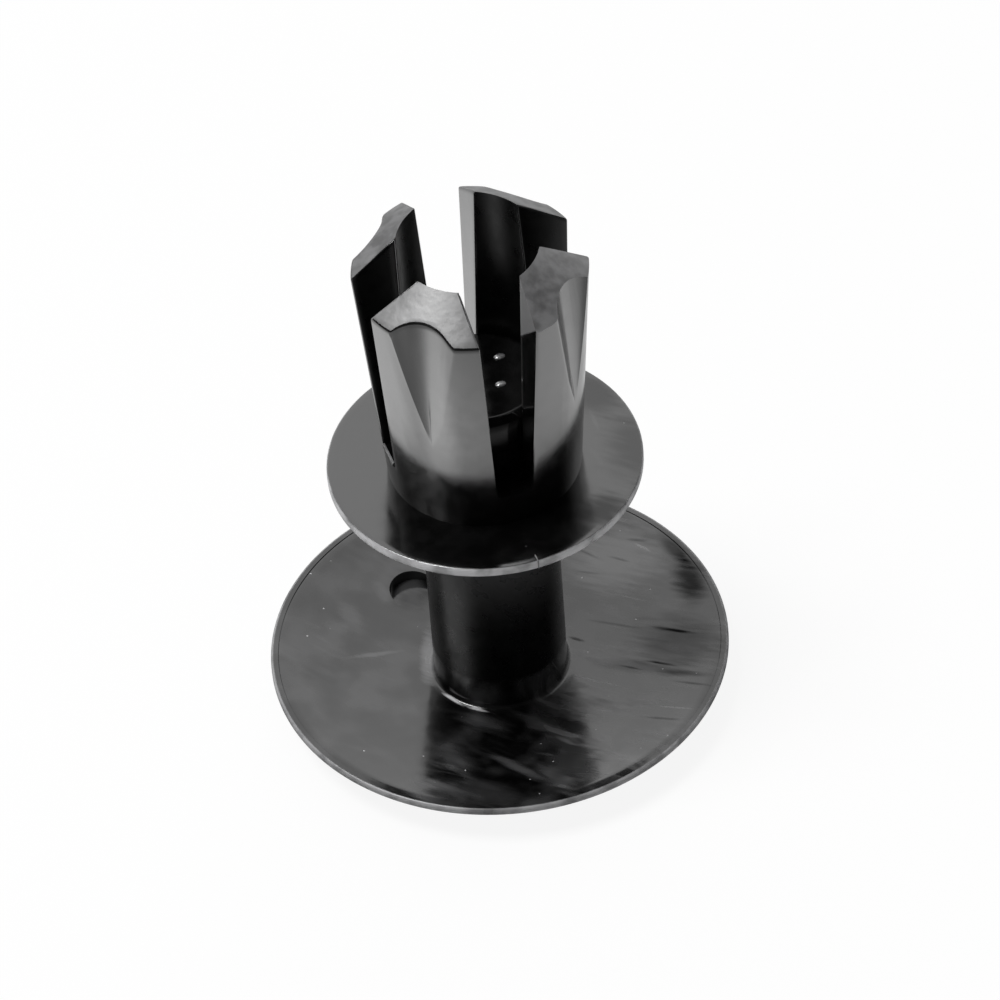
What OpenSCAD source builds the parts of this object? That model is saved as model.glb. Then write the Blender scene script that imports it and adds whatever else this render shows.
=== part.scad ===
// Two-piece push-in trim clip: a pin with a wide dished head, carrying a
// slotted sleeve that snaps into a panel hole. Real size in millimetres, +Z up,
// standing on the flat middle of the head. The sleeve is shown before it is pushed home.

/* [Head] */
// Diameter of the head
head_d = 20; // [18:0.5:24]
// Thickness of the head at the foot of the shank
head_foot_t = 0.8; // [0.7:0.1:1.2]
// How far the rim stands above the foot of the shank
head_dish = 1.1; // [0.9:0.1:1.4]
// Thickness of the head at its rim
head_rim_t = 0.32; // [0.26:0.02:0.6]
// Width of the narrow lip along the upper edge of the rim
head_lip = 0.35; // [0.2:0.05:0.5]
// Diameter of the flat that the clip stands on
head_flat_d = 12; // [10:0.5:13]

/* [Ejector mark] */
// Diameter of the round mark in the hollow side of the head
mark_d = 2.1; // [1.5:0.1:2.5]
// Depth of the mark
mark_depth = 0.4; // [0.2:0.05:0.5]
// Distance of the mark from the axis
mark_offset = 5.7; // [5:0.1:6]
// Direction of the mark, in degrees from +X
mark_angle = 113; // [0:1:360]

/* [Shank] */
// Diameter of the shank
shank_d = 5.84; // [5.2:0.02:6]
// Length of the shank above the head
shank_len = 17.1; // [15:0.1:22]
// Radius of the fillet where the shank meets the head
foot_fillet = 0.22; // [0.15:0.01:0.3]
// Chamfer on the free end of the shank
end_chamfer = 0.3; // [0.1:0.05:0.5]

/* [Collar] */
// Free length of the shank between the head and the collar
grip_gap = 11.9; // [10:0.1:13]
// Diameter of the collar
collar_d = 13.5; // [12:0.1:15]
// Thickness of the collar
collar_t = 0.45; // [0.4:0.05:0.8]

/* [Fingers] */
// Running clearance between the shank and the bore, on the radius
bore_clear = 0.05; // [0.02:0.01:0.1]
// Chamfer at the mouth of the bore, under the collar
mouth_chamfer = 0.35; // [0.32:0.01:0.45]
// Outer diameter of the fingers where they leave the collar
tube_d = 8.3; // [8:0.02:8.8]
// Outer diameter of the fingers at their widest
tip_d = 9.9; // [9.4:0.02:10.6]
// Height of the widest point above the collar
flare_h = 10.9; // [10:0.1:13]
// Height of the sloping end above the widest point
tip_h = 1.4; // [1:0.1:1.8]
// Height of the slot floors above the collar
slot_floor_h = 1.65; // [1.4:0.05:2.5]
// Width of a slot at its floor
slot_floor_w = 1.52; // [1.2:0.02:1.8]
// Width of a slot at the widest point of the fingers
slot_tip_w = 2.45; // [2:0.05:2.8]

/* [Flutes] */
// Height above the collar of the point of the cone that cuts a flute
flute_start_h = 4.7; // [4:0.1:6]
// How far that point lies outside the finger
flute_out = 0.03; // [0.02:0.01:0.1]
// Half angle of the cone
flute_angle = 20; // [18:0.5:22]
// Lean of the floor of the flute, inwards going up
flute_dig = 2.3; // [1:0.1:3]

/* [Hidden] */
$fn = 96;
eps = 0.01;

head_r = head_d / 2;
shank_r = shank_d / 2;
foot_r = shank_r + foot_fillet;
flat_r = head_flat_d / 2;
rim_top = head_foot_t + head_dish;
rim_low = rim_top - head_rim_t;

// The hollow is part of a sphere that passes through the foot of the shank and the lip.
hollow_rise = (pow(head_r - head_lip, 2) - pow(foot_r, 2) + pow(head_dish, 2)) / (2 * head_dish);
hollow_z = head_foot_t + hollow_rise;
hollow_r = sqrt(pow(hollow_rise, 2) + pow(foot_r, 2));

// The back is part of a sphere that passes through the edge of the flat and the lower edge of the rim.
back_z = (pow(head_r, 2) - pow(flat_r, 2) + pow(rim_low, 2)) / (2 * rim_low);
back_r = sqrt(pow(back_z, 2) + pow(flat_r, 2));

shank_top = head_foot_t + shank_len;
mark_top = hollow_z - sqrt(pow(hollow_r, 2) - pow(mark_offset, 2));

collar_low = head_foot_t + grip_gap;
collar_top = collar_low + collar_t;
widest_z = collar_top + flare_h;
tips_z = widest_z + tip_h;
slot_z = collar_top + slot_floor_h;
flute_z = collar_top + flute_start_h;
bore_r = shank_r + bore_clear;
tube_r = tube_d / 2;
tip_r = tip_d / 2;
collar_r = collar_d / 2;
flare = (tip_r - tube_r) / flare_h;
flute_r = tube_r + flare * flute_start_h + flute_out;
slot_open = (slot_tip_w - slot_floor_w) / (widest_z - slot_z);
slot_cut_h = tips_z - slot_z + 1;
flute_len = tips_z - flute_z + 3;

module head_blank() {
  intersection() {
    cylinder(h = rim_top, r = head_r);
    translate([0, 0, back_z])
      sphere(r = back_r, $fn = 180);
  }
}

module head_hollow() {
  intersection() {
    translate([0, 0, hollow_z])
      sphere(r = hollow_r, $fn = 180);
    cylinder(h = rim_top + 1, r = head_r + 1);
  }
}

module ejector_mark() {
  rotate([0, 0, mark_angle])
    translate([mark_offset, 0, mark_top - mark_depth])
      cylinder(h = mark_depth + 1, d = mark_d, $fn = 48);
}

module shank() {
  rotate_extrude()
    polygon([
      [0, head_foot_t / 2],
      [shank_r, head_foot_t / 2],
      [shank_r, shank_top - end_chamfer],
      [shank_r - end_chamfer, shank_top],
      [0, shank_top]
    ]);
}

module foot() {
  rotate_extrude()
    difference() {
      translate([shank_r - eps, head_foot_t / 2])
        square([foot_fillet + eps, head_foot_t / 2 + foot_fillet]);
      translate([foot_r, head_foot_t + foot_fillet])
        circle(r = foot_fillet, $fn = 48);
    }
}

module pin() {
  color([0.06, 0.06, 0.065]) {
    difference() {
      head_blank();
      head_hollow();
      ejector_mark();
    }
    shank();
    foot();
  }
}

module sleeve_blank() {
  rotate_extrude()
    polygon([
      [bore_r + mouth_chamfer, collar_low],
      [collar_r, collar_low],
      [collar_r, collar_top],
      [tube_r, collar_top],
      [tip_r, widest_z],
      [bore_r, tips_z],
      [bore_r, collar_low + mouth_chamfer]
    ]);
}

module slot_pair() {
  rotate([90, 0, 0])
    translate([0, slot_z, 0])
      linear_extrude(height = tip_d + 4, center = true)
        polygon([
          [-slot_floor_w / 2, 0],
          [slot_floor_w / 2, 0],
          [slot_floor_w / 2 + slot_open * slot_cut_h / 2, slot_cut_h],
          [-slot_floor_w / 2 - slot_open * slot_cut_h / 2, slot_cut_h]
        ]);
}

module flute() {
  translate([flute_r, 0, flute_z])
    rotate([0, flute_angle - flute_dig, 0])
      cylinder(h = flute_len, r1 = 0, r2 = flute_len * tan(flute_angle));
}

module sleeve() {
  color([0.09, 0.09, 0.095])
    difference() {
      sleeve_blank();
      for (turn = [0, 90])
        rotate([0, 0, turn])
          slot_pair();
      for (turn = [45 : 90 : 315])
        rotate([0, 0, turn])
          flute();
    }
}

pin();
sleeve();
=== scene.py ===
"""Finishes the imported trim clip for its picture: meshes, black plastic, a plain studio and the camera."""

import logging
import math
from collections.abc import Callable, Sequence
from dataclasses import dataclass
from enum import Enum

import bpy
from mathutils import Matrix, Vector


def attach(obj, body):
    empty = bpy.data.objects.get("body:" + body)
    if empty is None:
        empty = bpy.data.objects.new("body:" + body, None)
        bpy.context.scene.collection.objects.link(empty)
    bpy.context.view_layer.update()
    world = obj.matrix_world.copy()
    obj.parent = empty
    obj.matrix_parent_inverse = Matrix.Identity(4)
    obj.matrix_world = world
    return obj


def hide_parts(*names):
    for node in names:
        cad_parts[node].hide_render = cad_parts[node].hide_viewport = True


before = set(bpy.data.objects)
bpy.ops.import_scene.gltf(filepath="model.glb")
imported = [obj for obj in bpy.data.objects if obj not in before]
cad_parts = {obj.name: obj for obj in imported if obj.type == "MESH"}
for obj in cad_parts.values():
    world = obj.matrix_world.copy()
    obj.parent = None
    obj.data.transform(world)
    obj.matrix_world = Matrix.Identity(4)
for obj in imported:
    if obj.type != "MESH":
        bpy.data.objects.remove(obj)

MM = 0.001
LOG = logging.getLogger("trim_clip")
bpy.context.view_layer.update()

Outline = list[tuple[float, float]]


class Slot(Enum):
    """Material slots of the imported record."""

    PIN = "pin_plastic"
    SLEEVE = "sleeve_plastic"


class Bench:
    """Modelling steps that the pieces share."""

    @staticmethod
    def clear() -> None:
        """Leave edit mode and deselect everything."""
        if bpy.context.mode != "OBJECT":
            bpy.ops.object.mode_set(mode="OBJECT")
        bpy.ops.object.select_all(action="DESELECT")

    @staticmethod
    def hold(piece: bpy.types.Object) -> None:
        """Make one piece the only selected and active one."""
        Bench.clear()
        piece.select_set(True)
        bpy.context.view_layer.objects.active = piece

    @staticmethod
    def edit(piece: bpy.types.Object) -> None:
        """Open one piece in edit mode with all of it selected."""
        Bench.hold(piece)
        bpy.ops.object.mode_set(mode="EDIT")
        bpy.ops.mesh.select_all(action="SELECT")

    @staticmethod
    def pick_faces(piece: bpy.types.Object, chosen: Callable[[bpy.types.MeshPolygon], bool]) -> None:
        """Open a piece in edit mode with only some faces selected.

        Args:
            piece: the mesh object.
            chosen: says of a face whether it is selected.
        """
        Bench.edit(piece)
        bpy.ops.mesh.select_mode(type="FACE")
        bpy.ops.mesh.select_all(action="DESELECT")
        bpy.ops.object.mode_set(mode="OBJECT")
        for face in piece.data.polygons:
            face.select = chosen(face)
        bpy.ops.object.mode_set(mode="EDIT")

    @staticmethod
    def round_edges(piece: bpy.types.Object, degrees: float, width: float, chosen: Callable[[Vector, Vector], bool]) -> None:
        """Round the sharp edges of a piece.

        Args:
            piece: the mesh object.
            degrees: angle above which an edge is sharp.
            width: width of the round in millimetres.
            chosen: says of an edge, from the places of its ends, whether it is rounded.
        """
        Bench.edit(piece)
        bpy.ops.mesh.select_mode(type="EDGE")
        bpy.ops.mesh.select_all(action="DESELECT")
        bpy.ops.mesh.edges_select_sharp(sharpness=math.radians(degrees))
        bpy.ops.object.mode_set(mode="OBJECT")
        points = piece.data.vertices
        for edge in piece.data.edges:
            edge.select = edge.select and chosen(*(points[end].co / MM for end in edge.vertices))
        bpy.ops.object.mode_set(mode="EDIT")
        bpy.ops.mesh.bevel(offset=width * MM, segments=3, affect="EDGES", clamp_overlap=False)
        bpy.ops.mesh.select_all(action="SELECT")
        bpy.ops.mesh.dissolve_degenerate(threshold=1e-6)
        bpy.ops.object.mode_set(mode="OBJECT")

    @staticmethod
    def spun(name: str, outline: Outline, steps: int) -> bpy.types.Object:
        """Draw an outline vertex by vertex and spin it round the upright axis.

        Args:
            name: name of the new object.
            outline: (radius, height) points in millimetres.
            steps: number of steps in the full turn.

        Returns:
            The closed mesh object.
        """
        Bench.clear()
        bpy.ops.mesh.primitive_plane_add(size=MM)
        piece = bpy.context.object
        piece.name = name
        bpy.ops.object.mode_set(mode="EDIT")
        bpy.ops.mesh.merge(type="CENTER")
        last = Vector((0.0, 0.0, 0.0))
        for index, (radius, height) in enumerate(outline):
            place = Vector((radius * MM, 0.0, height * MM))
            if index == 0:
                bpy.ops.transform.translate(value=place - last)
            else:
                bpy.ops.mesh.extrude_region_move(TRANSFORM_OT_translate={"value": place - last})
            last = place
        bpy.ops.mesh.select_all(action="SELECT")
        bpy.ops.mesh.spin(steps=steps, angle=math.tau, center=(0, 0, 0), axis=(0, 0, 1))
        Bench.weld()
        bpy.ops.object.mode_set(mode="OBJECT")
        return piece

    @staticmethod
    def weld(reach: float = 1e-7) -> None:
        """Merge doubled vertices of the open mesh and turn its normals outwards."""
        bpy.ops.mesh.select_all(action="SELECT")
        bpy.ops.mesh.remove_doubles(threshold=reach)
        bpy.ops.mesh.normals_make_consistent(inside=False)

    @staticmethod
    def settle(piece: bpy.types.Object, kind: str, **settings: object) -> None:
        """Add one modifier to a piece, set it up and apply it."""
        Bench.hold(piece)
        modifier = piece.modifiers.new(kind.lower(), kind)
        for key, value in settings.items():
            setattr(modifier, key, value)
        bpy.ops.object.modifier_apply(modifier=modifier.name)

    @staticmethod
    def cut(piece: bpy.types.Object, cutter: bpy.types.Object) -> None:
        """Subtract a cutter from a piece and remove the cutter."""
        Bench.settle(piece, "BOOLEAN", operation="DIFFERENCE", solver="EXACT", object=cutter)
        bpy.data.objects.remove(cutter)

    @staticmethod
    def place(piece: bpy.types.Object) -> None:
        """Apply a piece's location, rotation and scale to its mesh."""
        Bench.hold(piece)
        bpy.ops.object.transform_apply(location=True, rotation=True, scale=True)

    @staticmethod
    def join(piece: bpy.types.Object, others: Sequence[bpy.types.Object]) -> None:
        """Join other meshes into a piece."""
        Bench.hold(piece)
        for other in others:
            other.select_set(True)
        bpy.ops.object.join()

    @staticmethod
    def smooth(piece: bpy.types.Object, degrees: float) -> None:
        """Shade a piece smooth, apart from edges sharper than an angle."""
        Bench.hold(piece)
        bpy.ops.object.shade_smooth_by_angle(angle=math.radians(degrees))


class Graph:
    """Short hand for the nodes of a material or the surroundings."""

    def __init__(self, tree: bpy.types.NodeTree, output: str) -> None:
        """Empty a node tree and give it an output node."""
        self.tree = tree
        self.tree.nodes.clear()
        self.output = self.tree.nodes.new(output)

    @classmethod
    def of_material(cls, material: bpy.types.Material) -> "Graph":
        """Start the nodes of a material."""
        material.use_nodes = True
        return cls(material.node_tree, "ShaderNodeOutputMaterial")

    @classmethod
    def of_world(cls, world: bpy.types.World) -> "Graph":
        """Start the nodes of the surroundings."""
        world.use_nodes = True
        return cls(world.node_tree, "ShaderNodeOutputWorld")

    def add(self, kind: str, settings: dict[str, object] | None = None, **inputs: object) -> bpy.types.Node:
        """Add a node.

        Args:
            kind: type of the node.
            settings: properties of the node.
            inputs: values or sockets for its inputs, by name, with _ for a space.

        Returns:
            The new node.
        """
        node = self.tree.nodes.new(kind)
        for key, value in (settings or {}).items():
            setattr(node, key, value)
        for key, value in inputs.items():
            self.feed(node.inputs[key.replace("_", " ")], value)
        return node

    def feed(self, socket: bpy.types.NodeSocket, value: object) -> None:
        """Link a socket to an input, or set the input's own value."""
        if isinstance(value, bpy.types.NodeSocket):
            self.tree.links.new(value, socket)
        else:
            socket.default_value = value

    def maths(self, operation: str, first: object, second: object = 0.0, clamp: bool = False) -> bpy.types.NodeSocket:
        """Add one maths step and give its result."""
        node = self.add("ShaderNodeMath", {"operation": operation, "use_clamp": clamp})
        self.feed(node.inputs[0], first)
        self.feed(node.inputs[1], second)
        return node.outputs[0]

    def ramp(self, value: object, low: float, high: float, to_low: float = 0.0, to_high: float = 1.0) -> bpy.types.NodeSocket:
        """Map a value from one range to another, clamped and smooth."""
        node = self.add("ShaderNodeMapRange", {"interpolation_type": "SMOOTHSTEP"})
        for index, item in enumerate((value, low, high, to_low, to_high)):
            self.feed(node.inputs[index], item)
        return node.outputs[0]

    def noise(self, vector: bpy.types.NodeSocket, scale: float, detail: float = 2.0) -> bpy.types.NodeSocket:
        """Add a noise pattern and give its value."""
        return self.add("ShaderNodeTexNoise", Vector=vector, Scale=scale, Detail=detail).outputs["Fac"]


@dataclass(frozen=True)
class ScuffAndLightPatch:
    """A pale scuff, or a patch of painted shade or painted highlight, placed as seen from above, in millimetres.

    Attributes:
        x: middle of the mark along +X.
        y: middle of the mark along +Y.
        lay: direction of its length in degrees from +X.
        length: half its length.
        width: half its width.
        pale: grey that it adds.
        dim: share of the shine that it takes, darkening the place, the broad patches being painted shade; below 0 it
            adds shine, as a painted highlight.
    """

    x: float
    y: float
    lay: float
    length: float
    width: float
    pale: float
    dim: float = 0.0


@dataclass(frozen=True)
class WearAndPaintedLight:
    """Worn places of a moulding, and the light and shade painted on it, in metres.

    Attributes:
        rim: radius beyond which the rim is painted paler.
        rim_tone: grey of the paler rim.
        scuffed_below: height below which the surface is scuffed.
        scuffing: how heavily it is scuffed there.
        scuff_tone: grey of the scuffs.
        speck_tone: grey of the specks of dust.
        lay: direction of the scuffs in degrees from +X.
        worn_side: direction of the most scuffed side in degrees from +X.
        blotch_tone: grey of the faint broad blotches.
        dim_above: share of the shine that the surface above the scuffs lacks, as painted shade.
        fade: painted shade low down: the share of the shine lost there, the height up to which all of it is lost and
            the height where none is.
        shank_sheen: grey of the painted sheen rising up the shank to just under the collar, roughness of all the bare
            shank, and the heights where the sheen starts and ends.
        painted_light_tone: grey of the painted light on the side of the front right finger, in the slot, ending at a
            line that stands for the front left finger's shadow.
        scuffs_and_light: pale scuffs and patches of painted shade and highlight on the scuffed part, each in its own
            place.
    """

    rim: float = 1.0
    rim_tone: float = 0.0
    scuffed_below: float = -1.0
    scuffing: float = 1.0
    scuff_tone: float = 0.0
    speck_tone: float = 0.0
    lay: float = -44.0
    worn_side: float = -55.0
    blotch_tone: float = 0.0
    dim_above: float = 0.0
    fade: tuple[float, float, float] = (0.0, 0.0, 1.0)
    shank_sheen: tuple[float, float, float, float] = (0.0, 0.0, 0.0, 1.0)
    painted_light_tone: float = 0.0
    scuffs_and_light: tuple[ScuffAndLightPatch, ...] = ()


@dataclass(frozen=True)
class BlackPlastic:
    """Black moulded plastic, all gloss and hardly any colour of its own.

    Attributes:
        name: name of the material.
        tone: grey of the clean plastic.
        mottle: share by which that grey varies.
        roughness: roughness of the clean plastic.
        grain: height of the grain in metres.
        grain_size: size of the grain in metres.
        shine: how strongly the surface mirrors.
        wear_and_light: the worn places and the painted light and shade.
        wave: height of the slow waves in the surface in metres.
    """

    name: str
    tone: float
    mottle: float
    roughness: float
    grain: float
    grain_size: float
    shine: float
    wear_and_light: WearAndPaintedLight
    wave: float = 0.0

    def make(self) -> bpy.types.Material:
        """Build the material.

        Returns:
            The new material.
        """
        material = bpy.data.materials.new(self.name)
        graph = Graph.of_material(material)
        place = graph.add("ShaderNodeTexCoord").outputs["Object"]
        axes = graph.add("ShaderNodeSeparateXYZ", Vector=place).outputs
        flat = graph.add("ShaderNodeCombineXYZ", X=axes["X"], Y=axes["Y"]).outputs[0]
        radius = graph.add("ShaderNodeVectorMath", {"operation": "LENGTH"}, Vector=flat).outputs["Value"]
        cloud = graph.ramp(graph.noise(place, 1500.0, 4.0), 0.3, 0.7)
        above = graph.ramp(axes["Z"], self.wear_and_light.scuffed_below, self.wear_and_light.scuffed_below + 0.0005)
        scuffs = self._scuffs(graph, place, above)
        rim = self._rim(graph, place, radius)
        tone = graph.maths("MULTIPLY", self.tone, graph.ramp(cloud, 0.0, 1.0, 1.0 - self.mottle, 1.0 + self.mottle))
        tone = graph.maths("ADD", tone, graph.maths("MULTIPLY", scuffs, self.wear_and_light.scuff_tone))
        tone = graph.maths("ADD", tone, graph.maths("MULTIPLY", rim, self.wear_and_light.rim_tone))
        pale, dim = self._scuffs_and_light(graph, place, above)
        tone = graph.maths("ADD", tone, graph.maths("MULTIPLY", self._specks(graph, flat, above), self.wear_and_light.speck_tone))
        tone = graph.maths("ADD", tone, self._blotches(graph, place, above))
        tone = graph.maths("ADD", tone, pale)
        # Painted light: a lit patch at the top of the front right finger's slot wall, ending at a painted shadow line.
        front_right_tip = self._painted_light_patch(graph, axes)
        tone = graph.maths("ADD", tone, graph.maths("MULTIPLY", front_right_tip, self.wear_and_light.painted_light_tone))
        roughness = graph.maths("ADD", self.roughness - 0.03, graph.maths("MULTIPLY", cloud, 0.06))
        for mask, extra in ((scuffs, 0.2), (rim, 0.3), (pale, 1.2), (front_right_tip, 0.35 if self.wear_and_light.painted_light_tone else 0.0)):
            roughness = graph.maths("ADD", roughness, graph.maths("MULTIPLY", mask, extra))
        # Painted sheen: grey rising up the shank to just under the collar; the bare shank is rougher too.
        if self.wear_and_light.shank_sheen[0]:
            grey, blur, start, full = self.wear_and_light.shank_sheen
            under = graph.ramp(axes["Z"], full, full + 0.0005, 1.0, 0.0)
            shank_sheen = graph.maths("MULTIPLY", graph.ramp(axes["Z"], start, full), under)
            tone = graph.maths("ADD", tone, graph.maths("MULTIPLY", shank_sheen, grey))
            bare = graph.maths("MULTIPLY", above, under)
            roughness = graph.maths("ADD", roughness, graph.maths("MULTIPLY", bare, blur))
        colour = graph.add("ShaderNodeCombineColor", Red=tone, Green=tone, Blue=graph.maths("MULTIPLY", tone, 1.02))
        fine = graph.add("ShaderNodeBump", Strength=0.6, Distance=self.grain, Height=graph.noise(place, 1.0 / self.grain_size, 2.0))
        if self.wave:
            slow = graph.add("ShaderNodeBump", Strength=1.0, Distance=self.wave, Height=graph.noise(place, 750.0, 1.0))
            graph.feed(fine.inputs["Normal"], slow.outputs["Normal"])
        bump = graph.add("ShaderNodeBump", Strength=0.6, Distance=4e-6, Height=scuffs, Normal=fine.outputs["Normal"])
        # The shine is cut by the painted shade and raised by the painted highlights.
        shader = graph.add(
            "ShaderNodeBsdfPrincipled",
            Base_Color=colour.outputs[0],
            Roughness=roughness,
            Normal=bump.outputs["Normal"],
            Specular_IOR_Level=graph.maths("MULTIPLY", graph.maths("SUBTRACT", 1.0, dim), self.shine, clamp=True) if dim else self.shine,
            IOR=2.4,
        )
        graph.feed(graph.output.inputs["Surface"], shader.outputs["BSDF"])
        return material

    def _scuffs(self, graph: Graph, place: bpy.types.NodeSocket, above: bpy.types.NodeSocket) -> bpy.types.NodeSocket:
        """Add fine scratches and broader smears, gathered in patches on the low part."""
        total: object = 0.0
        for turn, along, across, share, low, high, detail in (
            (2.0, 2.4, 0.14, 0.3, 0.58, 0.76, 3.0),
            (12.0, 1.5, 0.12, 0.25, 0.6, 0.76, 3.0),
            (-12.0, 3.0, 0.9, 0.9, 0.52, 0.74, 2.0),
            (-4.0, 2.2, 0.55, 0.9, 0.54, 0.72, 1.5),
        ):
            lines = graph.add(
                "ShaderNodeMapping",
                {"vector_type": "TEXTURE"},
                Vector=place,
                Rotation=(0.0, 0.0, math.radians(self.wear_and_light.lay + turn)),
                Scale=(along * MM, across * MM, along * MM),
            )
            streak = graph.ramp(graph.noise(lines.outputs["Vector"], 1.0, detail), low, high)
            total = graph.maths("ADD", total, graph.maths("MULTIPLY", streak, share))
        patches = graph.ramp(graph.noise(place, 260.0, 2.0), 0.4, 0.62, 0.1, 1.0)
        reach = self._towards(graph, place, self.wear_and_light.worn_side)
        patches = graph.maths("MULTIPLY", patches, graph.ramp(reach, -0.004, 0.004, 0.25, 1.0))
        low_part = graph.ramp(above, 0.0, 1.0, self.wear_and_light.scuffing, 0.0)
        return graph.maths("MULTIPLY", graph.maths("MULTIPLY", total, patches), low_part)

    def _scuffs_and_light(self, graph: Graph, place: bpy.types.NodeSocket, above: bpy.types.NodeSocket) -> tuple[object, object]:
        """Add the painted shade above the scuffs and low down, and the placed patches, with ragged borders: pale
        scuffs, and painted shade or highlight where they take or add shine.

        Args:
            graph: the material's nodes.
            place: place on the piece.
            above: 1 above the scuffed part.

        Returns:
            The grey that they add and the share of the shine that is lost to painted shade, below 0 where painted
            highlights add shine, each 0 where there is none.
        """
        pale: object = 0.0
        # Painted shade: shine taken from all of the surface above the scuffs, which on the pin is its shank.
        dim: object = graph.maths("MULTIPLY", above, self.wear_and_light.dim_above) if self.wear_and_light.dim_above else 0.0
        # Painted shade low down: shine taken away below one height, none above another.
        if self.wear_and_light.fade[0]:
            lost, low, high = self.wear_and_light.fade
            dim = graph.maths("ADD", dim, graph.ramp(graph.add("ShaderNodeSeparateXYZ", Vector=place).outputs["Z"], low, high, lost, 0.0))
        if not self.wear_and_light.scuffs_and_light:
            return pale, dim
        low_part = graph.ramp(above, 0.0, 1.0, 1.0, 0.0)
        fibres = self._mapped(graph, place, (0.0, 0.0), self.wear_and_light.lay, (1.8, 0.32))
        ragged = graph.maths("MULTIPLY", graph.maths("SUBTRACT", graph.noise(fibres, 1.0, 3.0), 0.5), 0.9)
        for patch in self.wear_and_light.scuffs_and_light:
            local = self._mapped(graph, place, (patch.x, patch.y), patch.lay, (patch.length, patch.width))
            reach = graph.add("ShaderNodeVectorMath", {"operation": "LENGTH"}, Vector=local).outputs["Value"]
            mask = graph.maths("MULTIPLY", graph.ramp(graph.maths("ADD", reach, ragged), 0.2, 1.1, 1.0, 0.0), low_part)
            if patch.pale:
                pale = graph.maths("ADD", pale, graph.maths("MULTIPLY", mask, patch.pale))
            if patch.dim:
                dim = graph.maths("ADD", dim, graph.maths("MULTIPLY", mask, patch.dim))
        return pale, dim

    @staticmethod
    def _mapped(
        graph: Graph, place: bpy.types.NodeSocket, middle: tuple[float, float], lay: float, size: tuple[float, float]
    ) -> bpy.types.NodeSocket:
        """Measure a place from a middle, along and across a direction, in units of a size in millimetres."""
        node = graph.add(
            "ShaderNodeMapping",
            {"vector_type": "TEXTURE"},
            Vector=place,
            Location=(middle[0] * MM, middle[1] * MM, 0.0),
            Rotation=(0.0, 0.0, math.radians(lay)),
            Scale=(size[0] * MM, size[1] * MM, 1.0),
        )
        return node.outputs["Vector"]

    @staticmethod
    def _towards(graph: Graph, place: bpy.types.NodeSocket, degrees: float) -> bpy.types.NodeSocket:
        """Measure how far a place lies towards one side."""
        node = graph.add("ShaderNodeVectorMath", {"operation": "DOT_PRODUCT"}, Vector=place)
        graph.feed(node.inputs[1], (math.cos(math.radians(degrees)), math.sin(math.radians(degrees)), 0.0))
        return node.outputs["Value"]

    def _blotches(self, graph: Graph, place: bpy.types.NodeSocket, above: bpy.types.NodeSocket) -> bpy.types.NodeSocket:
        """Add the grey of the faint blotches on the low part."""
        broad = graph.ramp(graph.noise(place, 420.0, 2.5), 0.42, 0.68, 0.0, self.wear_and_light.blotch_tone)
        return graph.maths("MULTIPLY", broad, graph.ramp(above, 0.0, 1.0, 1.0, 0.0))

    @staticmethod
    def _specks(graph: Graph, flat: bpy.types.NodeSocket, above: bpy.types.NodeSocket) -> bpy.types.NodeSocket:
        """Add a few pale specks of dust on the low part."""
        cells = graph.add("ShaderNodeTexVoronoi", {"voronoi_dimensions": "2D"}, Vector=flat, Scale=800.0).outputs
        rare = graph.ramp(graph.add("ShaderNodeSeparateColor", Color=cells["Color"]).outputs[0], 0.78, 0.95)
        specks = graph.maths("MULTIPLY", graph.ramp(cells["Distance"], 0.015, 0.04, 1.0, 0.0), rare)
        return graph.maths("MULTIPLY", specks, graph.ramp(above, 0.0, 1.0, 1.0, 0.0))

    @staticmethod
    def _painted_light_patch(graph: Graph, axes: bpy.types.NodeOutputs) -> bpy.types.NodeSocket:
        """Add the painted pool of light beside the front slot, from the end down to a slanting line that stands for the
        front left finger's shadow.
        """
        above = graph.ramp(graph.maths("ADD", axes["Z"], axes["Y"]), 0.01938, 0.01952)
        beside = graph.maths("MULTIPLY", graph.ramp(axes["X"], 0.0004, 0.0006), graph.ramp(axes["X"], 0.0014, 0.0015, 1.0, 0.0))
        return graph.maths("MULTIPLY", graph.maths("MULTIPLY", above, beside), graph.ramp(axes["Y"], -0.0026, -0.0024, 1.0, 0.0))

    def _rim(self, graph: Graph, place: bpy.types.NodeSocket, radius: bpy.types.NodeSocket) -> bpy.types.NodeSocket:
        """Add the paler band on the rim, broken up along its length."""
        band = graph.ramp(radius, self.wear_and_light.rim, self.wear_and_light.rim + 0.00008)
        return graph.maths("MULTIPLY", band, graph.ramp(graph.noise(place, 900.0, 3.0), 0.3, 0.6, 0.45, 1.0))


# On the head: pale scuffs, patches that take shine, the broad ones painted shade, and one that adds shine as a painted
# highlight.
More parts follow.
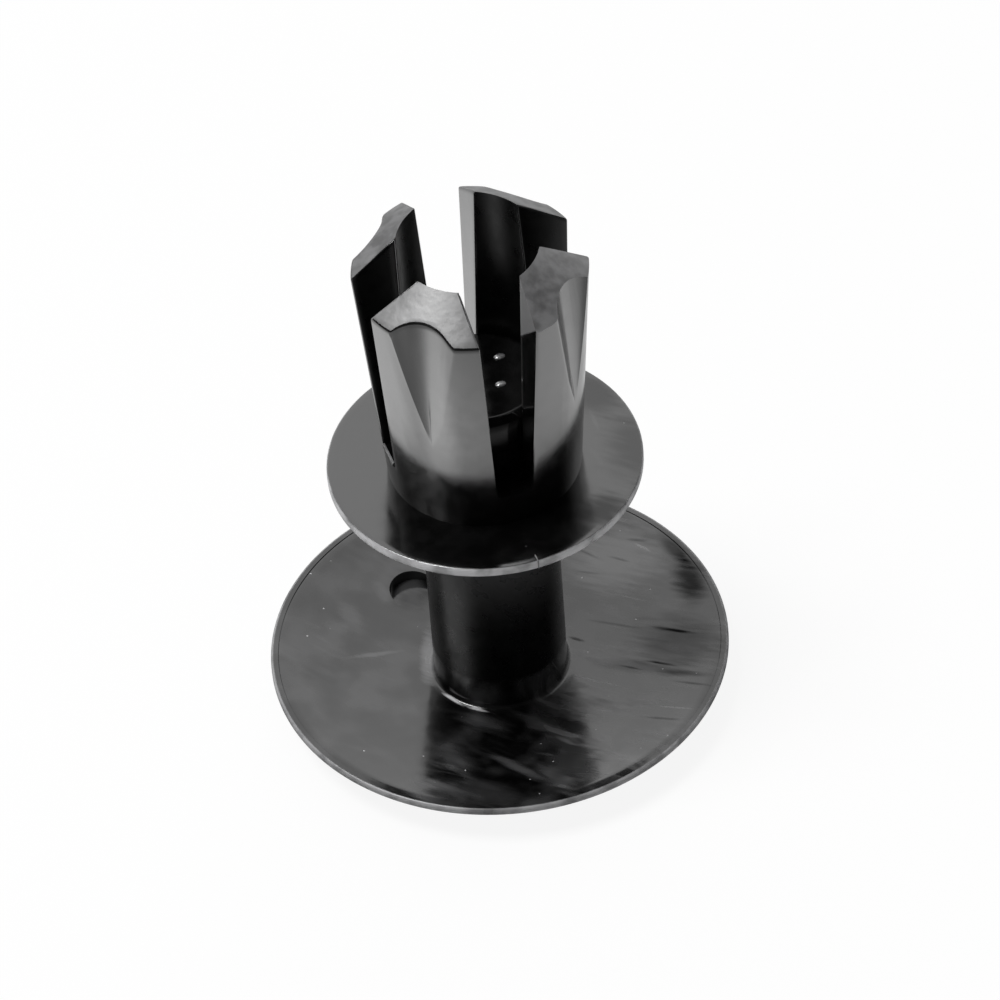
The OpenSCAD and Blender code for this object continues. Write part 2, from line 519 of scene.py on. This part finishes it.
HEAD_SCUFFS_AND_LIGHT = (
    ScuffAndLightPatch(-1.96, -3.37, -42.0, 1.51, 0.55, 0.03),
    ScuffAndLightPatch(-1.63, -6.84, -61.0, 1.99, 0.3, 0.05),
    ScuffAndLightPatch(-3.94, -5.16, -65.0, 1.48, 0.8, 0.025),
    ScuffAndLightPatch(0.85, -5.95, -60.0, 0.63, 0.16, 0.07),
    ScuffAndLightPatch(2.99, -2.56, -49.0, 0.75, 0.07, 0.25),
    ScuffAndLightPatch(5.67, -6.32, -41.0, 0.93, 0.06, 0.16),
    ScuffAndLightPatch(7.90, 3.30, -59.0, 0.51, 0.07, 0.2),
    ScuffAndLightPatch(6.74, 3.25, -46.0, 0.64, 0.08, 0.0, 0.6),
    ScuffAndLightPatch(7.80, 3.81, -35.0, 0.60, 0.1, 0.0, 0.6),
    ScuffAndLightPatch(9.05, 0.45, -98.0, 1.7, 0.95, 0.0, 0.85),
    ScuffAndLightPatch(9.1, 2.4, -77.0, 1.5, 0.45, 0.0, 0.7),
    ScuffAndLightPatch(6.6, 3.4, -38.0, 2.9, 2.2, 0.05, -0.6),
    ScuffAndLightPatch(7.3, -2.6, -46.0, 2.6, 1.9, 0.0, 0.55),
    ScuffAndLightPatch(5.6, -3.3, -40.0, 2.6, 0.5, 0.0, 0.4),
    ScuffAndLightPatch(6.9, -4.6, -38.0, 1.6, 0.25, 0.0, 0.4),
    ScuffAndLightPatch(-3.6, -8.0, -45.0, 2.4, 1.1, 0.02),
    ScuffAndLightPatch(3.84, -4.85, -44.0, 1.39, 0.9, 0.05),
    ScuffAndLightPatch(-5.11, 2.17, -5.0, 1.52, 0.16, 0.05),
    ScuffAndLightPatch(-5.36, 4.52, -82.0, 1.26, 0.6, 0.035),
    ScuffAndLightPatch(-3.59, 5.51, -79.0, 0.87, 0.35, 0.02),
    ScuffAndLightPatch(-2.85, 1.37, -110.0, 2.06, 0.45, 0.12),
    ScuffAndLightPatch(-2.75, -1.45, -62.0, 0.75, 0.1, 0.6),
    ScuffAndLightPatch(-1.95, -2.45, -40.0, 0.55, 0.1, 0.6),
    ScuffAndLightPatch(-2.23, 5.25, 0.0, 1.3, 1.3, 0.0, 0.55),
    ScuffAndLightPatch(3.46, -0.12, -47.0, 0.43, 0.1, 0.0, 0.7),
    ScuffAndLightPatch(5.02, -2.95, -46.0, 0.76, 0.09, 0.0, 0.5),
    ScuffAndLightPatch(6.24, -3.39, -46.0, 0.98, 0.1, 0.0, 0.5),
    ScuffAndLightPatch(6.93, -5.35, -44.0, 1.10, 0.1, 0.0, 0.5),
    ScuffAndLightPatch(3.81, -3.38, -47.0, 0.67, 0.07, 0.12),
    ScuffAndLightPatch(5.16, -6.87, -40.0, 1.19, 0.09, 0.0, 0.45),
    ScuffAndLightPatch(2.98, -4.77, -47.0, 0.55, 0.1, 0.1),
    ScuffAndLightPatch(5.61, 4.19, -55.0, 0.94, 0.08, 0.0, 0.5),
    ScuffAndLightPatch(5.25, 3.22, -35.0, 0.80, 0.09, 0.0, 0.4),
    ScuffAndLightPatch(6.50, 0.91, -46.0, 1.02, 0.07, 0.1),
    ScuffAndLightPatch(7.47, -1.86, -43.0, 1.25, 0.12, 0.0, 0.5),
    ScuffAndLightPatch(5.29, -0.12, -41.0, 1.47, 0.1, 0.0, 0.35),
)
# On the collar: two pale scuff streaks, and broad patches of painted shade on its right that take shine.
COLLAR_SCUFFS_AND_SHADE = (
    ScuffAndLightPatch(3.55, -4.94, -65.0, 1.3, 1.5, 0.0, 0.6),
    ScuffAndLightPatch(6.36, -1.84, -110.0, 3.4, 1.9, 0.0, 0.35),
    ScuffAndLightPatch(5.08, 0.44, -92.0, 0.89, 0.12, 0.03),
    ScuffAndLightPatch(4.41, -1.76, -85.0, 1.24, 0.16, 0.03),
    ScuffAndLightPatch(5.7, 2.0, -70.0, 2.2, 1.6, 0.0, 0.35),
)
# Painted highlights: patches on the fingers that add shine.
FINGER_PAINTED_HIGHLIGHTS = (
    ScuffAndLightPatch(-4.45, -1.75, 112.0, 1.3, 1.3, 0.0, -0.5),
    ScuffAndLightPatch(-2.75, -3.35, 142.0, 1.0, 0.9, 0.0, -0.55),
    ScuffAndLightPatch(1.1, 4.0, 90.0, 1.8, 0.5, 0.0, -0.5),
    ScuffAndLightPatch(3.05, -3.05, 45.0, 1.1, 0.8, 0.0, -0.5),
)
# Painted shade: patches that take shine from the back left and front right ends.
END_PAINTED_SHADE = (
    ScuffAndLightPatch(-2.9, 2.9, 0.0, 2.8, 2.8, 0.0, 0.6),
    ScuffAndLightPatch(2.9, -2.9, 0.0, 2.4, 2.4, 0.0, 0.3),
)


@dataclass
class Pin:
    """The pin: a wide dished head with a round shank, in millimetres."""

    head_r: float = 10.0
    foot_z: float = 0.8
    rim_top: float = 1.9
    rim_low: float = 1.58
    lip: float = 0.35
    flat_r: float = 6.0
    shank_r: float = 2.92
    shank_top: float = 17.9
    fillet: float = 0.22
    chamfer: float = 0.3
    mark_r: float = 1.05
    mark_depth: float = 0.4
    mark_offset: float = 5.7
    mark_angle: float = 113.0
    scars: tuple[tuple[float, float, float], ...] = ((1.22, 0.78, 0.26), (0.71, -0.81, 0.24))
    steps: int = 192

    def hollow(self, radius: float) -> float:
        """Height of the hollow side of the head at a radius."""
        foot_r = self.shank_r + self.fillet
        dish = self.rim_top - self.foot_z
        rise = ((self.head_r - self.lip) ** 2 - foot_r**2 + dish**2) / (2 * dish)
        ball = math.hypot(rise, foot_r)
        return self.foot_z + rise - math.sqrt(ball**2 - radius**2)

    def back(self, radius: float) -> float:
        """Height of the back of the head at a radius outside its flat."""
        rise = (self.head_r**2 - self.flat_r**2 + self.rim_low**2) / (2 * self.rim_low)
        ball = math.hypot(rise, self.flat_r)
        return rise - math.sqrt(ball**2 - radius**2)

    def outline(self) -> Outline:
        """Half section of the pin from the middle of the back to the middle of the shank's end.

        Returns:
            (radius, height) points.
        """
        edge = self.head_r
        points = [(0.0, 0.0), (1.5, 0.0), (3.0, 0.0), (4.5, 0.0), (self.flat_r - 0.2, 0.0), (self.flat_r, 0.006)]
        points += [(r, self.back(r)) for r in (6.2, 6.6, 7.1, 7.6, 8.1, 8.6, 9.1, 9.5, 9.8, 9.9)]
        points += [(edge - 0.05, self.back(edge - 0.06)), (edge - 0.012, self.rim_low + 0.02), (edge, self.rim_low + 0.06)]
        points += self._arc(edge - 0.13, self.rim_top - 0.13, 0.13, 0.0, 90.0, 6)
        inner = edge - self.lip
        points += [(edge - 0.22, self.rim_top), (inner + 0.03, self.rim_top), (inner, self.rim_top - 0.035)]
        points += [(inner - 0.05, self.hollow(inner - 0.05) - 0.02)]
        start, end = inner - 0.1, self.shank_r + self.fillet
        points += [(r, self.hollow(r)) for r in (start + (end - start) * k / 28 for k in range(28))]
        points += self._arc(end, self.foot_z + self.fillet, self.fillet, 270.0, 180.0, 7)
        points += [(self.shank_r, z) for z in (2.0, 4.0, 6.0, 8.0, 10.0, 12.0, 14.0, 16.0, 17.2)]
        top, side = self.shank_top, self.shank_r
        points += [
            (side, top - self.chamfer - 0.05),
            (side - 0.02, top - self.chamfer + 0.02),
            (side - self.chamfer + 0.03, top - 0.03),
            (side - self.chamfer - 0.04, top),
        ]
        points += [(side - self.chamfer - 0.12, top), (2.0, top), (1.2, top), (0.6, top), (0.0, top)]
        return points

    @staticmethod
    def _arc(radius: float, height: float, size: float, start: float, end: float, count: int) -> Outline:
        """Points along a round of a given size about a centre."""
        turns = (math.radians(start + (end - start) * k / (count - 1)) for k in range(count))
        return [(radius + size * math.cos(t), height + size * math.sin(t)) for t in turns]

    def build(self, finish: BlackPlastic, scar_finish: BlackPlastic) -> bpy.types.Object:
        """Model and dress the pin.

        Args:
            finish: the plastic.
            scar_finish: the torn plastic of the lumps on the end of the shank, whose paler grey partly paints their
                glints.

        Returns:
            The piece that stands for the CAD pin.
        """
        piece = Bench.spun("pin_mesh", self.outline(), self.steps)
        self._press_mark(piece)
        piece.data.materials.clear()
        piece.data.materials.append(finish.make())
        self._leave_scars(piece, scar_finish.make())
        Bench.smooth(piece, 26.0)
        Bench.settle(piece, "WEIGHTED_NORMAL", keep_sharp=True)
        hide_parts("pin")
        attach(piece, "pin")
        return piece

    def _press_mark(self, piece: bpy.types.Object) -> None:
        """Sink the ejector mark into the hollow of the head."""
        turn = math.radians(self.mark_angle)
        ground = self.hollow(self.mark_offset)
        floor = ground - self.mark_depth
        centre = Vector((self.mark_offset * math.cos(turn), self.mark_offset * math.sin(turn), 0.0)) * MM
        cutter = Bench.spun("mark_cutter", [(0.0, floor), (self.mark_r, floor), (self.mark_r, floor + 1.5), (0.0, floor + 1.5)], 64)
        cutter.location = centre
        Bench.place(cutter)
        Bench.cut(piece, cutter)

    def _leave_scars(self, piece: bpy.types.Object, torn: bpy.types.Material) -> None:
        """Leave the low lumps of torn plastic on the end of the shank."""
        lumps = []
        for x, y, size in self.scars:
            Bench.clear()
            bpy.ops.mesh.primitive_uv_sphere_add(segments=24, ring_count=12, radius=size * MM, location=(x * MM, y * MM, self.shank_top * MM))
            lump = bpy.context.object
            lump.scale = (1.0, 0.7, 0.4)
            Bench.place(lump)
            # Their paler grey partly paints the glints.
            lump.data.materials.append(torn)
            lumps.append(lump)
        Bench.join(piece, lumps)


@dataclass
class Sleeve:
    """The sleeve: a thin collar and a bored tube split into four fluted fingers, in millimetres."""

    collar_low: float = 12.7
    collar_top: float = 13.15
    collar_r: float = 6.75
    tube_r: float = 4.15
    tip_r: float = 4.95
    widest_z: float = 24.05
    tips_z: float = 25.45
    bore_r: float = 2.97
    mouth: float = 0.35
    slot_z: float = 14.8
    slot_floor_w: float = 1.52
    slot_tip_w: float = 2.45
    flute_z: float = 17.85
    flute_r: float = 4.525
    flute_angle: float = 20.0
    flute_lean: float = 17.7
    edge: float = 0.1
    soft_shoulder: float = 0.36
    lean_far: float = 0.05
    lean_near: float = 0.3
    slot_cols: int = 3
    finger_cols: int = 48
    flute_share: float = 0.5
    deep: int = 6
    collar_rows: int = 2
    tube_rows: int = 4
    finger_rows: int = 40
    collar_steps: int = 8

    def build(self, finishes: Sequence[BlackPlastic]) -> bpy.types.Object:
        """Model and dress the sleeve.

        Args:
            finishes: the plastic of the outside, the ends, the inside and the collar, the inside being a duller copy
                that paints shade into the bore and slots.

        Returns:
            The piece that stands for the CAD sleeve.
        """
        piece = self._quarter_block()
        for vertex in piece.data.vertices:
            vertex.co = self._wrap(*vertex.co)
        Bench.settle(piece, "MIRROR", use_axis=(True, True, False), use_mirror_merge=True, merge_threshold=2e-7)
        Bench.edit(piece)
        Bench.weld(2e-7)
        bpy.ops.object.mode_set(mode="OBJECT")
        Bench.round_edges(piece, 22.0, self.edge, lambda a, b: not (self._stays_sharp(a) and self._stays_sharp(b)))
        self._dress(piece, finishes)
        self._lean_back(piece)
        Bench.smooth(piece, 30.0)
        Bench.settle(piece, "WEIGHTED_NORMAL", keep_sharp=True)
        self._leave_flash(piece)
        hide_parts("sleeve")
        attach(piece, "sleeve")
        return piece

    def _stays_sharp(self, place: Vector) -> bool:
        """Whether an edge through a place is left sharp.

        Args:
            place: one end of the edge in millimetres.

        Returns:
            True at the foot of the tube, on the slots' floors, on the bore's upper edge, on the shoulders of the flutes
            and round the end of the front right finger.
        """
        radius = math.hypot(place.x, place.y)
        off_slot = min(abs(place.x), abs(place.y)) - self._slot_half(place.z)
        at_foot = abs(place.z - self.collar_top) < 0.01 and radius < self.tube_r + 0.05
        on_floor = abs(place.z - self.slot_z) < 0.01
        on_wall = place.z > self.slot_z + 0.2 and radius > self.bore_r + 0.1
        at_bore = place.z > self.tips_z - 0.02
        front_right_tip = place.x > 0 > place.y and place.z > self._top(radius) - 0.02
        shoulder = on_wall and off_slot > 0.02 and place.z < self._top(radius) - 0.01
        return at_foot or on_floor or at_bore or front_right_tip or shoulder

    def _dress(self, piece: bpy.types.Object, finishes: Sequence[BlackPlastic]) -> None:
        """Give the outside, the ends, the inside and the collar of the sleeve their finishes, the inside's duller one
        painting shade into the bore and the slot walls that face ±Y.
        """
        piece.data.materials.clear()
        for finish in finishes:
            piece.data.materials.append(finish.make())
        for face in piece.data.polygons:
            place = face.center / MM
            radius = math.hypot(place.x, place.y)
            off_slot = min(abs(place.x), abs(place.y)) - self._slot_half(place.z)
            # The bore and the slot walls facing ±Y take the duller inside plastic: painted shade.
            in_slot = place.z > self.slot_z - 0.02 and off_slot < 0.01 and abs(face.normal.y) > abs(face.normal.x)
            if face.normal.z > 0.75 and place.z > self.widest_z - 0.3:
                face.material_index = 1
            elif in_slot or (radius < self.bore_r + 0.01 and place.z > self.collar_top):
                face.material_index = 2
            else:
                face.material_index = 3 if place.z < self.collar_top + 0.02 else 0

    def _lean_back(self, piece: bpy.types.Object) -> None:
        """Let the two back fingers stand out a little, most of all beside the slot between them."""
        for vertex in piece.data.vertices:
            rise = (vertex.co.z / MM - self.slot_z) / (self.tips_z - self.slot_z)
            if vertex.co.y > 0 and rise > 0:
                near = max(0.0, 1 - abs(vertex.co.x) / MM / self.tip_r)
                vertex.co.y += (self.lean_far + self.lean_near * near) * min(rise, 1.0) ** 1.5 * MM

    def _leave_flash(self, piece: bpy.types.Object) -> None:
        """Leave thin ridges of flash where the parting line crosses the collar's rim, and a burr on the left slot's floor."""
        ridges = []
        low, high = self.collar_low + 0.04, self.collar_top + 0.008
        rim, size = self.collar_r - 0.2, (0.06, 0.44, high - low)
        burr = Vector((0.07 - self._plain(self.slot_z), 0.0, self.slot_z + 0.07))
        for middle, extent in (
            (Vector((0.0, -rim, (low + high) / 2)), size),
            (Vector((0.0, rim, (low + high) / 2)), size),
            (burr, (0.1, 1.3, 0.22)),
        ):
            Bench.clear()
            bpy.ops.mesh.primitive_cube_add(size=MM, location=middle * MM)
            ridge = bpy.context.object
            ridge.scale = extent
            Bench.place(ridge)
            Bench.settle(ridge, "BEVEL", width=0.015 * MM, segments=2)
            ridge.data.materials.append(piece.data.materials[1])
            ridges.append(ridge)
        Bench.join(piece, ridges)

    def _quarter_block(self) -> bpy.types.Object:
        """Model a quarter of the sleeve unrolled, one unit to a row: across, through and up.

        Returns:
            The block, with open ends where the quarters meet.
        """
        columns = self.finger_cols + 2 * self.slot_cols
        Bench.clear()
        bpy.ops.mesh.primitive_grid_add(x_subdivisions=columns, y_subdivisions=self.deep, size=1.0)
        piece = bpy.context.object
        piece.name = "sleeve_mesh"
        Bench.edit(piece)
        bpy.ops.transform.resize(value=(columns, self.deep, 1.0))
        bpy.ops.transform.translate(value=(columns / 2, self.deep / 2, 0.0))
        bpy.ops.mesh.select_mode(type="FACE")
        base = self.collar_rows + self.tube_rows
        for _ in range(base):
            bpy.ops.mesh.extrude_region_move(TRANSFORM_OT_translate={"value": (0.0, 0.0, 1.0)})
        left, right = self.slot_cols, columns - self.slot_cols
        Bench.pick_faces(piece, lambda f: f.center.z > base - 0.1 and left < f.center.x < right)
        for _ in range(self.finger_rows):
            bpy.ops.mesh.extrude_region_move(TRANSFORM_OT_translate={"value": (0.0, 0.0, 1.0)})
        Bench.pick_faces(piece, lambda f: f.center.y > self.deep - 0.1 and f.center.z < self.collar_rows)
        for _ in range(self.collar_steps):
            bpy.ops.mesh.extrude_region_move(TRANSFORM_OT_translate={"value": (0.0, 1.0, 0.0)})
        Bench.pick_faces(piece, lambda f: f.center.x < 0.1 or f.center.x > columns - 0.1)
        bpy.ops.mesh.delete(type="ONLY_FACE")
        bpy.ops.object.mode_set(mode="OBJECT")
        return piece

    def _slot_half(self, height: float) -> float:
        """Half the width of a slot at a height."""
        grow = (self.slot_tip_w - self.slot_floor_w) / (self.widest_z - self.slot_z)
        return (self.slot_floor_w + grow * (max(height, self.slot_z) - self.slot_z)) / 2

    def _finger_half(self, radius: float, height: float) -> float:
        """Half the angle that a finger spans at a radius and height."""
        return math.pi / 4 - math.asin(self._slot_half(height) / radius)

    def _plain(self, height: float) -> float:
        """Outer radius of the fingers beside the flutes."""
        return self.tube_r + (self.tip_r - self.tube_r) * (height - self.collar_top) / (self.widest_z - self.collar_top)

    def _fluted(self, turn: float, height: float) -> float:
        """Outer radius of a finger at an angle from its middle, with the flute, whose one shoulder is rounded."""
        plain = self._plain(height)
        rise = height - self.flute_z
        if rise <= 0:
            return plain
        lean, half = math.radians(self.flute_lean), math.radians(self.flute_angle)
        ax, az, c2 = math.sin(lean), math.cos(lean), math.cos(half) ** 2
        ca = math.cos(turn)
        k0 = -self.flute_r * ax + rise * az
        a = (ca * ax) ** 2 - c2
        b = 2 * ca * ax * k0 + 2 * c2 * self.flute_r * ca
        c = k0**2 - c2 * (self.flute_r**2 + rise**2)
        disc = b * b - 4 * a * c
        if disc <= 0:
            return plain
        entry = min((-b + math.sqrt(disc)) / (2 * a), (-b - math.sqrt(disc)) / (2 * a))
        soft = min(self.soft_shoulder, 0.2 * rise) if turn > 0 else 0.0
        near = max(0.0, 1 - abs(plain - entry) / soft) if soft > 0 else 0.0
        return min(plain, entry) - soft * near * near / 4

    def _flute_half(self, height: float) -> float:
        """Angle from the middle of a finger to the edge of its flute."""
        low, high = 0.0, math.radians(30.0)
        for _ in range(30):
            middle = (low + high) / 2
            if self._fluted(-middle, height) < self._plain(height) - 1e-6:
                low = middle
            else:
                high = middle
        return max(low, math.radians(2.0))

    def _top(self, radius: float) -> float:
        """Height of the sloping end at a radius."""
        return self.tips_z - (radius - self.bore_r) * (self.tips_z - self.widest_z) / (self.tip_r - self.bore_r)

    def _across(self, column: float, radius: float, outer: float, height: float) -> float:
        """Angle of a column of a finger at a radius and height."""
        t = 2 * (column - self.slot_cols) / self.finger_cols - 1
        edge = self._flute_half(height)
        reach = self._finger_half(outer, height)
        if abs(t) <= self.flute_share:
            angle = edge * t / self.flute_share
        else:
            beyond = (abs(t) - self.flute_share) / (1 - self.flute_share)
            angle = math.copysign(edge + (reach - edge) * beyond**1.4, t)
        return angle * self._finger_half(radius, height) / reach

    def _wrap(self, column: float, row: float, level: float) -> Vector:
        """Place of one vertex of the unrolled block on the real sleeve.

        Args:
            column: across the quarter.
            row: through the wall, and on past it over the collar.
            level: upwards.

        Returns:
            The place in metres.
        """
        column, row, level = round(column), round(row), round(level)
        base = self.collar_rows + self.tube_rows
        columns = self.finger_cols + 2 * self.slot_cols
        depth = min(row, self.deep) / self.deep
        share = max(0.0, (level - base) / self.finger_rows)
        if level <= self.collar_rows:
            height = self.collar_low + (self.collar_top - self.collar_low) * level / self.collar_rows
        else:
            step = (self.slot_z - self.collar_top) / self.tube_rows
            height = self.collar_top + step * (min(level, base) - self.collar_rows)
        inner = self.bore_r + max(0.0, self.mouth - (height - self.collar_low))
        radius = inner + (self._plain(max(height, self.collar_top)) - inner) * depth
        in_finger = self.slot_cols <= column <= columns - self.slot_cols
        angle = 0.0
        for _ in range(14 if share > 0 else 1):
            if share > 0:
                height = self.slot_z + share * (self._top(radius) - self.slot_z)
            if in_finger:
                level_z = max(height, self.slot_z)
                outer = self._plain(max(height, self.collar_top))
                angle = self._across(column, radius, outer, level_z)
            else:
                half = self._finger_half(radius, self.slot_z)
                side = min(column, columns - column) / self.slot_cols
                angle = math.copysign(math.pi / 4 - (math.pi / 4 - half) * side, column - columns / 2)
            if share > 0:
                radius = inner + (self._fluted(angle, height) - inner) * depth
        if row > self.deep:
            radius += (self.collar_r - radius) * (row - self.deep) / self.collar_steps
        turn = angle + math.pi / 4
        return Vector((radius * math.cos(turn), radius * math.sin(turn), height)) * MM


@dataclass(frozen=True)
class Viewpoint:
    """The camera's place round the clip: degrees, millimetres and the lens."""

    azimuth: float = -16.4
    elevation: float = 44.45
    roll: float = -4.44
    distance: float = 300.0
    aside: float = 0.506
    above: float = 10.545
    lens: float = 252.63

    def turn(self) -> Matrix:
        """Turn from the camera's own directions, right, away and up, to the clip's frame."""
        return Matrix.Rotation(math.radians(self.azimuth), 3, "Z")

    def build(self) -> bpy.types.Object:
        """Place the camera.

        Returns:
            The camera object.
        """
        e, r = math.radians(self.elevation), math.radians(self.roll)
        back = Vector((0.0, -math.cos(e), math.sin(e)))
        right, up = Vector((1.0, 0.0, 0.0)), Vector((0.0, math.sin(e), math.cos(e)))
        across = right * math.cos(r) + up * math.sin(r)
        upright = up * math.cos(r) - right * math.sin(r)
        spot = Vector((self.aside, 0.0, self.above)) + back * self.distance
        turn = self.turn()
        pose = Matrix([turn @ across, turn @ upright, turn @ back]).transposed().to_4x4()
        pose.translation = turn @ spot * MM
        Bench.clear()
        bpy.ops.object.camera_add()
        camera = bpy.context.object
        camera.matrix_world = pose
        camera.data.lens = self.lens
        camera.data.sensor_width = 36.0
        camera.data.clip_start, camera.data.clip_end = 0.01, 20.0
        bpy.context.scene.camera = camera
        return camera


@dataclass(frozen=True)
class Softbox:
    """A square soft light.

    Attributes:
        name: name of the light.
        towards: direction of the light from the clip, in the camera's directions.
        distance: distance in metres.
        size: width and height in metres.
        level: brightness of its face, 1 is white.
    """

    name: str
    towards: tuple[float, float, float]
    distance: float
    size: tuple[float, float]
    level: float

    def build(self, turn: Matrix) -> bpy.types.Object:
        """Hang the light so that it faces the clip."""
        way = (turn @ Vector(self.towards)).normalized()
        Bench.clear()
        bpy.ops.object.light_add(type="AREA", location=way * self.distance + Vector((0.0, 0.0, 0.01)))
        light = bpy.context.object
        light.name = self.name
        light.rotation_euler = way.to_track_quat("Z", "Y").to_euler()
        light.data.shape = "RECTANGLE"
        light.data.size, light.data.size_y = self.size
        light.data.energy = self.level * math.pi * self.size[0] * self.size[1]
        return light


@dataclass(frozen=True)
class Studio:
    """White floor, white surroundings and soft lights."""

    floor_size: float = 3.0
    floor_tone: float = 0.9
    shade_in: float = 0.0135
    shade_out: float = 0.0195
    air: float = 0.12
    dark_side: float = 0.03
    bright_side: float = 1.0
    lights: tuple[Softbox, ...] = (
        Softbox("key_light", (-0.39, -0.03, 0.92), 0.6, (0.22, 0.22), 20.0),
        Softbox("back_light", (0.0, 0.714, 0.7), 0.8, (1.0, 1.0), 0.9),
    )

    def build(self, turn: Matrix) -> None:
        """Set the floor, the surroundings and the lights."""
        self._floor(turn)
        self._surroundings(turn)
        for light in self.lights:
            light.build(turn)

    def _floor(self, turn: Matrix) -> None:
        """Lay the floor, which shows white and takes the clip's shadow. Mirrored, it is white in a ring round the clip."""
        Bench.clear()
        bpy.ops.mesh.primitive_plane_add(size=self.floor_size)
        floor = bpy.context.object
        floor.name = "floor"
        white = bpy.data.materials.new("floor_white")
        graph = Graph.of_material(white)
        rays = graph.add("ShaderNodeLightPath")
        seen = graph.maths("MULTIPLY", rays.outputs["Is Camera Ray"], 0.9)
        mirrored = graph.maths("MULTIPLY", graph.maths("MAXIMUM", rays.outputs["Is Glossy Ray"], rays.outputs["Is Transmission Ray"]), 0.95)
        matt = graph.add("ShaderNodeBsdfDiffuse", Color=(self.floor_tone, self.floor_tone, self.floor_tone, 1.0))
        place = graph.add("ShaderNodeTexCoord").outputs["Object"]
        reach = graph.add("ShaderNodeVectorMath", {"operation": "LENGTH"}, Vector=place).outputs["Value"]
        near, far = graph.ramp(reach, self.shade_in, self.shade_out, 0.04, 1.0), graph.ramp(reach, 0.024, 0.045, 1.0, 0.55)
        shade = graph.maths("MULTIPLY", near, far)
        for side, start, end, least in (((0.0, -1.0, 0.0), 0.0135, 0.028, 0.42), ((1.0, 0.0, 0.0), -0.008, 0.018, 0.78)):
            reach = graph.add("ShaderNodeVectorMath", {"operation": "DOT_PRODUCT"}, Vector=place)
            graph.feed(reach.inputs[1], tuple(turn @ Vector(side)))
            shade = graph.maths("MULTIPLY", shade, graph.ramp(reach.outputs["Value"], start, end, 1.0, least))
        strength = graph.maths("MAXIMUM", rays.outputs["Is Camera Ray"], shade)
        glow = graph.add("ShaderNodeEmission", Color=(1.0, 1.0, 1.0, 1.0), Strength=strength)
        mixed = graph.add("ShaderNodeMixShader", Fac=graph.maths("ADD", seen, mirrored, clamp=True))
        graph.feed(mixed.inputs[1], matt.outputs[0])
        graph.feed(mixed.inputs[2], glow.outputs[0])
        graph.feed(graph.output.inputs["Surface"], mixed.outputs[0])
        floor.data.materials.append(white)

    def _surroundings(self, turn: Matrix) -> None:
        """Fill the air with even light. Mirrored, it is white behind the clip and dark on the camera's side."""
        world = bpy.data.worlds.new("studio_air")
        bpy.context.scene.world = world
        graph = Graph.of_world(world)
        rays = graph.add("ShaderNodeLightPath").outputs
        way = graph.add("ShaderNodeTexCoord").outputs["Generated"]
        away = graph.add("ShaderNodeVectorMath", {"operation": "DOT_PRODUCT"}, Vector=way)
        graph.feed(away.inputs[1], tuple(turn @ Vector((0.0, 1.0, 0.0))))
        mirrored = graph.ramp(away.outputs["Value"], 0.12, 0.52, self.dark_side, self.bright_side)
        level = graph.add("ShaderNodeMix", Factor=rays["Is Glossy Ray"], A=self.air, B=mirrored)
        shown = graph.add("ShaderNodeMix", Factor=rays["Is Camera Ray"], A=level.outputs[0], B=1.0)
        glow = graph.add("ShaderNodeBackground", Strength=shown.outputs[0])
        graph.feed(graph.output.inputs["Surface"], glow.outputs[0])


def main() -> None:
    """Build the pieces, the studio and the camera in order."""
    logging.basicConfig(level=logging.INFO, format="%(message)s")
    bpy.context.scene.view_settings.view_transform = "Standard"
    pin_wear_and_light = WearAndPaintedLight(
        rim=0.00986,
        rim_tone=0.3,
        scuffed_below=0.0021,
        scuff_tone=0.06,
        speck_tone=0.5,
        blotch_tone=0.03,
        # Painted shade over the shank.
        dim_above=0.62,
        # Painted sheen rising up the shank, and a rougher bare shank.
        shank_sheen=(0.06, 0.16, 0.005, 0.0126),
        scuffs_and_light=HEAD_SCUFFS_AND_LIGHT,
    )
    pin = Pin().build(
        BlackPlastic("pin_black", 0.002, 0.3, 0.13, 5e-7, 7e-5, 0.154, pin_wear_and_light, 1.6e-5),
        # The lumps' paler grey partly paints their glints.
        BlackPlastic("scar_glint_grey", 0.09, 0.6, 0.24, 1.2e-5, 1.2e-4, 0.48, WearAndPaintedLight()),
    )
    # Besides the rim, scuffs and specks, the collar's patches paint shade on its right.
    collar_wear_and_shade = WearAndPaintedLight(
        rim=0.00666, rim_tone=0.5, scuffed_below=0.0135, scuffing=0.15, scuff_tone=0.004, speck_tone=0.1, scuffs_and_light=COLLAR_SCUFFS_AND_SHADE
    )
    # All painted light on the fingers: shade at the foot, a lit patch beside the front slot and highlights.
    finger_light = WearAndPaintedLight(scuffed_below=1.0, scuffing=0.0, fade=(0.82, 0.0135, 0.0168), painted_light_tone=0.15, scuffs_and_light=FINGER_PAINTED_HIGHLIGHTS)
    # Painted shade on the back left and front right ends.
    end_shade = WearAndPaintedLight(scuffed_below=1.0, scuffing=0.0, scuffs_and_light=END_PAINTED_SHADE)
    sleeve = Sleeve().build(
        (
            BlackPlastic("sleeve_black", 0.002, 0.3, 0.18, 5e-7, 7e-5, 0.655, finger_light),
            BlackPlastic("sleeve_end_black", 0.09, 0.4, 0.48, 3e-5, 5.5e-4, 0.48, end_shade),
            # The inside is a duller copy of the outside plastic: painted shade in the bore and slots.
            BlackPlastic("sleeve_inner_shaded", 0.002, 0.3, 0.3, 5e-7, 7e-5, 0.14, WearAndPaintedLight()),
            BlackPlastic("collar_black", 0.002, 0.3, 0.15, 5e-7, 7e-5, 0.236, collar_wear_and_shade, 1e-5),
        )
    )
    for piece in (pin, sleeve):
        LOG.info("%s: %d faces", piece.name, len(piece.data.polygons))
    view = Viewpoint()
    Studio().build(view.turn())
    view.build()


if __name__ == "__main__":
    main()
